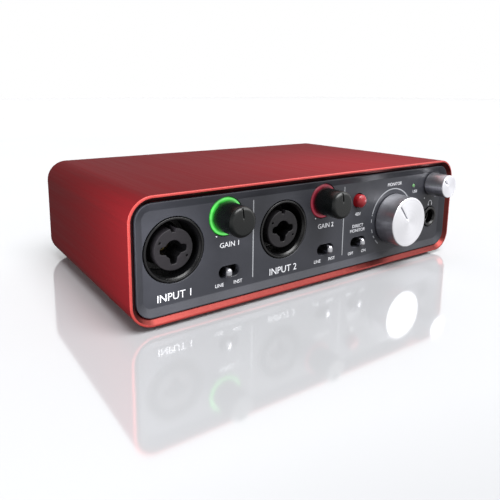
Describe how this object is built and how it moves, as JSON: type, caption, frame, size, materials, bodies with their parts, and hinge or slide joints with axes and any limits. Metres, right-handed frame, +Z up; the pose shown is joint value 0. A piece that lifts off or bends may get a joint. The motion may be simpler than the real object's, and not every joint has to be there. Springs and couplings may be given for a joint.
{
  "type": "audio interface",
  "caption": "Desktop USB audio interface: brushed red metal sleeve, dished dark front panel with combination inputs, gain, monitor and headphone knobs, slide switches and a lit button.",
  "frame": {"origin": "middle of the footprint, on the surface the feet stand on", "axes": "+X to the right seen from the front, +Y from the front panel to the rear, +Z up"},
  "size_m": [0.175, 0.1102, 0.0475],
  "materials": {
    "red_anodised": "fine brushed red anodising",
    "panel_grey": "satin dark grey",
    "black_plastic": "satin moulded",
    "core_grey": "matte moulded",
    "soft_black": "soft touch",
    "silver": "satin turned",
    "switch_white": "semi-gloss",
    "steel": "plated",
    "green_lens": "translucent, lit",
    "red_lens": "translucent, dimly lit",
    "button_red": "translucent, lit",
    "rubber_black": "matte",
    "circuit_board": "green solder mask",
    "component_black": "matte moulded"
  },
  "bodies": {
    "chassis": {"sleeve": "red_anodised", "front_panel": "panel_grey", "rear_panel": "panel_grey", "input_1_shell": "black_plastic", "input_2_shell": "black_plastic", "phones_jack": "black_plastic", "phones_jack_collar": "black_plastic", "line_out_left_jack": "black_plastic", "line_out_right_jack": "black_plastic", "input_1_core": "core_grey", "input_2_core": "core_grey", "usb_port_tongue": "switch_white", "gain_1_pot": "steel", "gain_2_pot": "steel", "monitor_pot": "steel", "phones_pot": "steel", "switch_1_body": "steel", "switch_2_body": "steel", "switch_3_body": "steel", "panel_bracket_left": "steel", "panel_bracket_right": "steel", "usb_port_shell": "steel", "lock_plate": "steel", "line_out_left_nut": "steel", "line_out_right_nut": "steel", "rear_screw_top_left": "steel", "rear_screw_top_right": "steel", "rear_screw_bottom_left": "steel", "rear_screw_bottom_right": "steel", "gain_1_halo": "green_lens", "usb_light": "green_lens", "gain_2_halo": "red_lens", "foot_front_left": "rubber_black", "foot_front_right": "rubber_black", "foot_rear_left": "rubber_black", "foot_rear_right": "rubber_black", "main_board": "circuit_board", "control_board": "circuit_board", "board_header": "component_black", "usb_chip": "component_black", "converter_chip": "component_black", "capacitor_left": "component_black", "capacitor_right": "component_black", "phantom_switch": "component_black"},
    "gain_1": {"gain_1_knob": "soft_black", "gain_1_shaft": "steel"},
    "gain_2": {"gain_2_knob": "soft_black", "gain_2_shaft": "steel"},
    "monitor": {"monitor_knob": "silver", "monitor_shaft": "steel"},
    "phones": {"phones_knob": "silver", "phones_shaft": "steel"},
    "switch_1": {"switch_1_lever": "switch_white"},
    "switch_2": {"switch_2_lever": "switch_white"},
    "switch_3": {"switch_3_lever": "switch_white"},
    "phantom": {"phantom_button": "button_red"}
  },
  "joints": [
    {"name": "gain_1_turn", "type": "hinge", "parent": "chassis", "child": "gain_1", "pos_m": [-0.0479, -0.0484, 0.0358], "axis": [0, 1, 0], "range_deg": [-144, 156]},
    {"name": "gain_2_turn", "type": "hinge", "parent": "chassis", "child": "gain_2", "pos_m": [0.0011, -0.0484, 0.0358], "axis": [0, 1, 0], "range_deg": [-144, 156]},
    {"name": "monitor_turn", "type": "hinge", "parent": "chassis", "child": "monitor", "pos_m": [0.0456, -0.0484, 0.0223], "axis": [0, 1, 0], "range_deg": [-111, 189]},
    {"name": "phones_turn", "type": "hinge", "parent": "chassis", "child": "phones", "pos_m": [0.074, -0.0484, 0.036], "axis": [0, 1, 0], "range_deg": [-100, 200]},
    {"name": "switch_1_slide", "type": "slide", "parent": "chassis", "child": "switch_1", "axis": [1, 0, 0], "range_m": [0, 0.0024]},
    {"name": "switch_2_slide", "type": "slide", "parent": "chassis", "child": "switch_2", "axis": [1, 0, 0], "range_m": [-0.0024, 0]},
    {"name": "switch_3_slide", "type": "slide", "parent": "chassis", "child": "switch_3", "axis": [1, 0, 0], "range_m": [-0.0024, 0]},
    {"name": "phantom_press", "type": "slide", "parent": "chassis", "child": "phantom", "axis": [0, 1, 0], "range_m": [0, 0.0015], "stiffness_N_per_m": 300, "springref_m": -0.0008}
  ]
}
